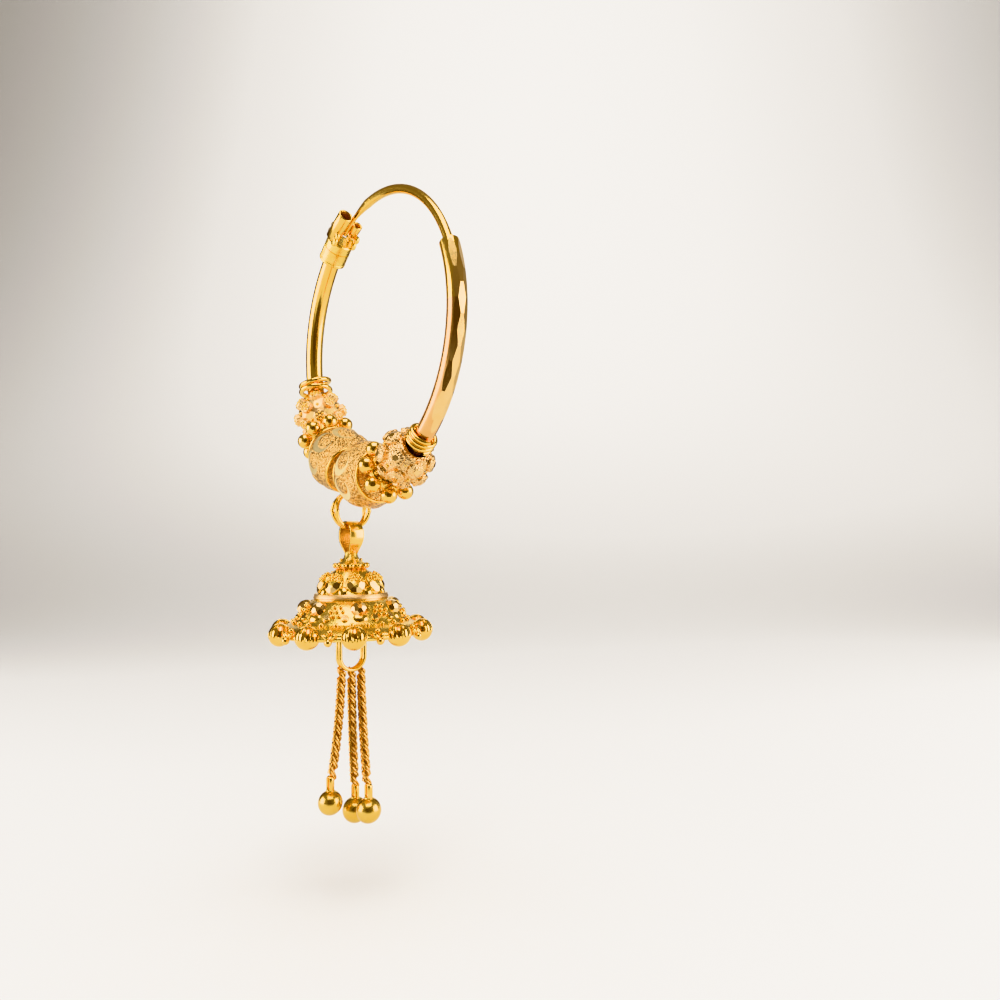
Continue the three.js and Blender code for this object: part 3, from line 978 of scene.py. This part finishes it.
# How far across the petal and how high on it each grain sits.
SHOULDER_GRAINS = (
    (0, 0.78), (-0.26, 0.62), (0.26, 0.62), (-0.44, 0.36), (-0.15, 0.4), (0.15, 0.4),
    (0.44, 0.36), (-0.58, 0.06), (-0.3, 0.12), (0, 0.14), (0.3, 0.12), (0.58, 0.06),
)
petal_parts = [petal]
for across, high in SHOULDER_GRAINS:
    inside_petal = max(0.0, 1 - (across / PETAL_WIDE) ** 2 - (high / PETAL_TALL) ** 2)
    out = PETAL_THICK * math.sqrt(inside_petal)
    petal_parts.append(granule(0.135, (out + 0.02, across, high)))
petal = put(join(petal_parts, "petal"), shift(2.16, 0, -4.82), turn(-35, "Y"))
bell_parts += copies(petal, around(PETALS, PETALS_FIRST))
for i in range(PETALS):
    foot = dress(ball(0.34, 20, 12), POLISHED)
    spin = turn(PETALS_FIRST + 360 / PETALS * (i + 0.5), "Z")
    put(foot, spin, shift(2.52, 0, -5.4), turn(-30, "Y"), stretch(0.5, 1.15, 1.2))
    bell_parts.append(smooth(foot, 60))

# %% [markdown]
# ## The lower dome
# Seven balls, sunk in the wall and diamond-cut into facets, take turns with seven little flowers
# of seven granules, in rows of two, three and two. A smooth leaf and two cut chips stand below
# each ball, and rows of small granules run above and below them all.

# %% One faceted ball
STUD_FLATS = ((58, 8), (32, 6))  # two rings of flats: how far they lean, and how many


def faceted_stud(radius):
    """A ball whose outer half is cut into flats round a flat top, pointing along X."""
    stud = dress(put(ball(radius, 32, 20), turn(90, "Y")), POLISHED)
    stud.data.materials.append(CUT)
    for lean, count in STUD_FLATS:
        for i in range(count):
            spin = math.radians(360 * i / count + lean)
            tilt = math.radians(lean)
            aside, up = math.sin(tilt) * math.cos(spin), math.sin(tilt) * math.sin(spin)
            normal = Vector((math.cos(tilt), aside, up))
            slice_flat(stud, normal * (radius * 0.925) * MM, normal, 1)
    slice_flat(stud, (radius * 0.93 * MM, 0, 0), (1, 0, 0), 1)
    return smooth(stud, 20)


# %% Set the faceted balls and the granule flowers
SKIRT_LEAN = 38
STUD_COUNT, STUDS_FIRST, STUD_RADIUS = 7, -18.3, 0.70
stud = faceted_stud(STUD_RADIUS)
bell_parts += copies(
    put(stud, shift(3.62, 0, -6.82), turn(-SKIRT_LEAN, "Y")), around(STUD_COUNT, STUDS_FIRST)
)
leaf = bright(ball(1.0, 24, 14))
bell_parts += copies(
    put(leaf, shift(4.02, 0, -7.38), turn(-SKIRT_LEAN, "Y"), stretch(0.30, 0.66, 0.50)),
    around(STUD_COUNT, STUDS_FIRST),
)
chip = dress(ball(0.3, 16, 10), CAST)
chip.data.materials.append(CUT)
slice_flat(chip, (0.2 * MM, 0, 0), (1, 0.1, 0.2), 1)
put(smooth(chip, 24), shift(4.18, 0, -7.38), turn(-SKIRT_LEAN, "Y"), stretch(1, 1.1, 1.1))
for aside in (-16, 16):
    bell_parts += copies(another(chip), around(STUD_COUNT, STUDS_FIRST + aside))
bpy.data.objects.remove(chip)
CLUSTER_ROWS = ((0.42, (-0.24, 0.24)), (0.0, (-0.49, 0.0, 0.49)), (-0.42, (-0.24, 0.24)))
cluster = []
for high, row in CLUSTER_ROWS:
    for across in row:
        cluster.append(granule(0.155, (0.06, across, high)))
cluster = join(cluster, "granule flower")
bell_parts += copies(
    put(cluster, shift(3.93, 0, -6.84), turn(-SKIRT_LEAN, "Y")),
    around(STUD_COUNT, STUDS_FIRST + 180 / STUD_COUNT),
)
bell_parts += grains_at(0.18, [(4.62, -7.80, 15 * i + 3) for i in range(24)])
bell_parts += grains_at(0.15, [(3.1, -6.3, 12 * i) for i in range(30)], CAST)

# %% [markdown]
# ## The scalloped rim
# Ten little scallop shells hang out over the rim, ribbed above and smooth below, with a ball and
# a pair of leaves between each two. The ribs are left where every fourth line of corners down a
# shell is pressed in, a little more above each of seven levels.

# %% Press the shells and set the rim
SHELL_COUNT, SHELLS_FIRST = 10, -61.5
SHELL_WIDE, SHELL_DEEP, SHELL_HIGH = 0.96, 0.86, 0.90
SHELL_LINES, RIB_PRESS = 80, 0.974
RIB_LEVELS = (-0.42, -0.28, -0.14, 0.0, 0.15, 0.3, 0.5)
shell = dress(ball(1.0, SHELL_LINES, 36), POLISHED)
for level in RIB_LEVELS:

    def in_groove(at, low=level):
        line = round(math.degrees(math.atan2(at.y, at.x)) / (360 / SHELL_LINES))
        return low < at.z < 0.95 and (line + 2) % 4 == 0

    choose_corners(shell, in_groove)
    bpy.ops.transform.resize(value=(RIB_PRESS, RIB_PRESS, 1), center_override=(0, 0, 0))
done()
put(shell, stretch(SHELL_DEEP, SHELL_WIDE, SHELL_HIGH))
smooth(shell, 26)
put(shell, shift(5.82, 0, -8.66), turn(-8, "Y"))
bell_parts += copies(shell, around(SHELL_COUNT, SHELLS_FIRST))

leaf_parts = [bright(ball(0.29, 20, 14, (6.22, 0, -8.93)))]
for side in (-1, 1):
    leaf = bright(ball(0.3, 16, 10))
    put(leaf, shift(6.0, side * 0.26, -8.55), turn(side * 38, "X"), stretch(0.7, 1.25, 0.55))
    leaf_parts.append(leaf)
leaf_parts.append(bright(ball(0.2, 14, 10, (5.7, 0, -8.2))))
leaves = join(leaf_parts, "leaves")
bell_parts += copies(leaves, around(SHELL_COUNT, SHELLS_FIRST + 180 / SHELL_COUNT))
RIM_RADIUS, RIM_WIRE = 5.72, 0.2
rim = bright(wire_ring(RIM_RADIUS, RIM_RADIUS, RIM_WIRE, 120, 12), CAST)
bell_parts.append(put(rim, shift(0, 0, -8.75), turn(90, "X")))

# %% [markdown]
# Inside the bell a short post carries the eye that the lower rings hang in.

# %% Add the post and the inner eye, and finish the bell
INNER_EYE_BOTTOM, INNER_EYE_HALF, INNER_EYE_WIRE = -8.95, 0.6, 0.15
post = dress(rod(0.22, 3.5, 20, 0.03), CAST)
bell_parts.append(smooth(put(post, shift(0, 0, -6.0)), 40))
inner_eye = bright(wire_ring(INNER_EYE_HALF, INNER_EYE_HALF, INNER_EYE_WIRE, 32, 12))
bell_parts.append(put(inner_eye, shift(0, 0, INNER_EYE_BOTTOM + INNER_EYE_HALF)))
AT_DROP = shift(DROP_X, 0, BAIL_TOP)
bell = put(join(bell_parts, "bell with bail"), AT_DROP)
hand_over(bell, "bell with bail", "drop", "polished_gold", "bell")

# %% [markdown]
# ## The lower rings
# The same double turn again, taller than wide, hanging in the inner eye. A round ring is made
# and its upper and lower halves are drawn apart.

# %% Bend the lower rings
LOWER_WIDE, LOWER_TALL, LOWER_TOP, LOWER_SPREAD = 1.1, 1.7, -8.5107, 0.2
lower = put(bright(wire_ring(LOWER_WIDE, LOWER_TALL, JUMP_WIRE, 56, 16)), turn(90, "Z"))
for name, side in (("lower_ring_near", 1), ("lower_ring_far", -1)):
    one = put(another(lower), AT_DROP, shift(side * LOWER_SPREAD, 0, LOWER_TOP - LOWER_TALL))
    hand_over(one, name, "drop", "polished_gold", name)
bpy.data.objects.remove(lower)

# %% [markdown]
# ## Chains and end balls
# Each chain is twisted so tightly that it looks like a rope: every link is a narrow oval that
# winds about half round the chain, with a dark slit down its middle, and its ends dive towards
# the middle, where they hook into the next links. One link is bent and twisted, then set front
# and back by turns, half a link's pitch apart, along a slightly bent line. A thin dark core
# stands for the shadowed gold inside.

# %% Bend one link
LINK_WIDE, LINK_TALL, LINK_WIRE, LINK_OUT, LINK_PITCH = 0.098, 0.66, 0.084, 0.27, 0.86
LINK_CUTS, LINK_CUT_STEP, LINK_TUCK = 4, 0.11, 0.10
link = dress(wire_ring(LINK_WIDE, LINK_TALL, LINK_WIRE, 20, 8), CHAIN)
edit(link)
for i in range(-LINK_CUTS, LINK_CUTS + 1):
    choose_all()
    bpy.ops.mesh.bisect(
        plane_co=(0, 0, i * LINK_CUT_STEP * MM), plane_no=(0, 0, 1), threshold=0.0001 * MM
    )
choose_all()
bpy.ops.transform.translate(value=(0, -LINK_OUT * MM, 0))
choose_corners(link, lambda at: abs(at.z) > LINK_TALL - 0.06)
bpy.ops.transform.translate(value=(0, LINK_TUCK * MM, 0))
done()
twist = link.modifiers.new("twist", "SIMPLE_DEFORM")
twist.deform_method = "TWIST"
twist.deform_axis = "Z"
twist.angle = math.radians(-360 * 2 * (LINK_TALL + LINK_WIRE) / (3 * LINK_PITCH))
take(link)
bpy.ops.object.modifier_apply(modifier=twist.name)
smooth(link, 60)

# %% The way a chain hangs
CHAIN_RADIUS = 0.38  # of the solid rod that a chain stands for
STRAP_WIDE, STRAP_TALL, STRAP_WIRE, STRAP_SINK, END_BALL = 0.28, 0.62, 0.085, 0.15, 0.98
# Each chain: its place across the lower rings, the middle of its ball, and the ball's radius.
STRANDS = {
    "left": (-0.86, (-0.64, -1.57, -22.35), 0.97),
    "middle": (0.0, (-0.64, 0.65, -23.4), 1.03),
    "right": (0.86, (1.5, 0.7, -22.9), 1.0),
}


def strand_point(share, across, end):
    """A place along a chain, from the lower rings at 0 to its ball's strap at 1."""
    near = max(abs(across) - CHAIN_RADIUS, 0.0)
    sag = LOWER_TALL * math.sqrt(1 - (near / LOWER_WIDE) ** 2)
    top = Vector((0, across, LOWER_TOP - LOWER_TALL - sag - 0.05))
    strap_top = end[2] + END_BALL + 2 * STRAP_TALL - STRAP_SINK
    foot = Vector((end[0] * 0.92, end[1] * 0.92, strap_top - 0.02))
    bend = Vector((end[0] * 0.15, across + (end[1] - across) * 0.15, (top.z + foot.z) / 2))
    return top * (1 - share) ** 2 + bend * 2 * share * (1 - share) + foot * share ** 2


# %% Hang the chains and their balls
CORE_RADIUS, CORE_STEPS = 0.15, 12
for side, (across, end, ball_radius) in STRANDS.items():
    length = (strand_point(1, across, end) - strand_point(0, across, end)).length
    count = round(length / LINK_PITCH)
    links = []
    for i in range(2 * count - 1):
        share = (i + 1) / (2 * count)
        at = strand_point(share, across, end)
        ahead = (strand_point(share - 0.02, across, end) - at).normalized()
        lean = Vector((0, 0, 1)).rotation_difference(ahead).to_matrix().to_4x4()
        links.append(AT_DROP @ shift(*at) @ lean @ turn(60 + 180 * (i % 2), "Z"))
    links = copies(link.copy(), links)
    core = [strand_point(i / CORE_STEPS, across, end) for i in range(CORE_STEPS + 1)]
    for low, high in zip(core[1:], core):
        reach = high - low
        lean = Vector((0, 0, 1)).rotation_difference(reach).to_matrix().to_4x4()
        # The core bars are painted shade for the shadowed inside of the chain.
        bar = dress(rod(CORE_RADIUS, reach.length + 0.1, 8), PAINTED_SHADE)
        links.append(put(bar, AT_DROP, shift(*((high + low) / 2)), lean))
    chain = join(links, "chain")
    hand_over(chain, "chain " + side, "drop", "chain_gold", "chain_" + side)

    drop_ball = bright(ball(ball_radius, 48, 32), SOFT)
    strap = dress(wire_ring(STRAP_WIDE, STRAP_TALL, STRAP_WIRE, 32, 12), POLISHED)
    put(strap, shift(0, 0, END_BALL + STRAP_TALL - STRAP_SINK), stretch(1, 2.4, 1))
    seat = dress(ball(0.34, 20, 12, (0, 0, END_BALL - 0.03)), CAST)
    put(seat, shift(0, 0, END_BALL * 0.55), stretch(1, 1, 0.45))
    whole = join([drop_ball, smooth(strap, 50), smooth(seat, 60)], "end ball")
    put(whole, AT_DROP, shift(*end))
    hand_over(whole, "end ball " + side, "drop", "polished_gold", "end_ball_" + side)
bpy.data.objects.remove(link)

# %% [markdown]
# ## The stage
# A pale floor runs up behind the hanging earring. Two large soft lights stand either side of the
# lens and one hangs above, a fourth is turned towards the backdrop, and the rest of the room is
# dim and warm, so that the gold has both bright and dark things to mirror.

# %% The floor


def plain(name, colour):
    """A dull finish in one colour, for what isn't part of the earring."""
    made = bpy.data.materials.new(name)
    made.use_nodes = True
    shader = made.node_tree.nodes["Principled BSDF"]
    dial(shader, "Base Color", (*colour, 1))
    dial(shader, "Roughness", 0.9)
    return made


FLOOR_HEIGHT, BACK_TURN = -56.0, 51.3
FLOOR_SIZE, BACK_TALL, BACK_CURVE = 2.4, 1.2, 0.95  # in metres
let_go()
bpy.ops.mesh.primitive_plane_add(size=FLOOR_SIZE)
sweep = bpy.context.object
sweep.name = "sweep"
edit(sweep, "EDGE")
done()
for edge in sweep.data.edges:
    edge.select = all(sweep.data.vertices[v].co.y > 1.1 for v in edge.vertices)
bpy.ops.object.mode_set(mode="EDIT")
bpy.ops.transform.translate(value=(0, -0.1, 0))
draw_out((0, 0, BACK_TALL))
done()
curve = sweep.modifiers.new("curve", "BEVEL")
curve.width = BACK_CURVE
curve.segments = 48
take(sweep)
bpy.ops.object.modifier_apply(modifier=curve.name)
put(smooth(sweep, 60), shift(0, 0, FLOOR_HEIGHT), turn(BACK_TURN, "Z"))
dress(sweep, plain("pale paper", (0.80, 0.80, 0.80)))

# %% The light
world = bpy.data.worlds.new("warm room")
world.use_nodes = True
dial(world.node_tree.nodes["Background"], "Color", (1.0, 0.80, 0.56, 1))
dial(world.node_tree.nodes["Background"], "Strength", 0.24)
bpy.context.scene.world = world
bpy.context.scene.view_settings.view_transform = "Khronos PBR Neutral"


def soft_light(name, place, aim, size, power):
    """A square soft light at a place in millimetres, turned towards another place."""
    let_go()
    bpy.ops.object.light_add(type="AREA", location=[v * MM for v in place])
    lamp = bpy.context.object
    lamp.name = name
    lamp.data.size = size * MM
    lamp.data.energy = power
    lamp.rotation_euler = (Vector(place) - aim).to_track_quat("Z", "Y").to_euler()
    return lamp


MIDDLE = Vector((0, 0, -25))
soft_light("right light", (140, 145, 10), MIDDLE, 150, 0.48)
soft_light("left light", (-85, -180, 0), MIDDLE, 160, 0.52)
soft_light("top light", (60, -30, 180), MIDDLE, 170, 0.50)
soft_light("backdrop light", (-250, 310, 800), Vector((-1000, 1250, 300)), 900, 9.0)

# %% [markdown]
# The lens looks through a hole in a dark card, and two dark flags stand behind at the sides.
# Only the gold sees them, as the dark middle and the dark edges of every polished ball.

# %% Dark cards
LENS_PLACE = (55.25, -29.79, -26.66)
CARD_RADIUS, CARD_BORDER = 42, 40
FLAG_SIZE, FLAG_AWAY, FLAG_HEIGHT, FLAG_TURNS = 90, 130, -20, (117, 187)


def facing_middle(place):
    """Turns a card at a place so that it faces the earring."""
    return (MIDDLE - Vector(place)).to_track_quat("Z", "Y").to_matrix().to_4x4()


let_go()
bpy.ops.mesh.primitive_circle_add(vertices=64, radius=CARD_RADIUS * MM, fill_type="NGON")
card = bpy.context.object
card.name = "dark-card"
edit(card, "FACE")
choose_all()
bpy.ops.mesh.inset(thickness=CARD_BORDER * MM)
bpy.ops.mesh.delete(type="FACE")
done()
put(card, shift(*LENS_PLACE), facing_middle(LENS_PLACE))
black = plain("black card", (0.06, 0.03, 0.012))
dress(card, black)
cards = [card]
for azimuth in FLAG_TURNS:
    let_go()
    bpy.ops.mesh.primitive_plane_add(size=FLAG_SIZE * MM)
    flag = bpy.context.object
    flag.name = "dark-flag"
    a = math.radians(azimuth)
    place = Vector((FLAG_AWAY * math.cos(a), FLAG_AWAY * math.sin(a), FLAG_HEIGHT))
    put(flag, shift(*place), facing_middle(place), stretch(0.7, 1.8, 1))
    cards.append(dress(flag, black))
for one in cards:
    one.visible_camera = False
    one.visible_shadow = False
    one.visible_diffuse = False

# %% [markdown]
# The camera stands close, level with the bail, and looks more along the hoop's plane than
# through the hoop, so the hoop shows as a narrow oval.

# %% The camera
LENS_TURN, LENS_LENGTH = (92.935, 0.724, 51.325), 27.54
let_go()
bpy.ops.object.camera_add(
    location=[v * MM for v in LENS_PLACE],
    rotation=[math.radians(v) for v in LENS_TURN],
)
camera = bpy.context.object
camera.data.lens = LENS_LENGTH
camera.data.clip_start = 0.001
bpy.context.scene.camera = camera
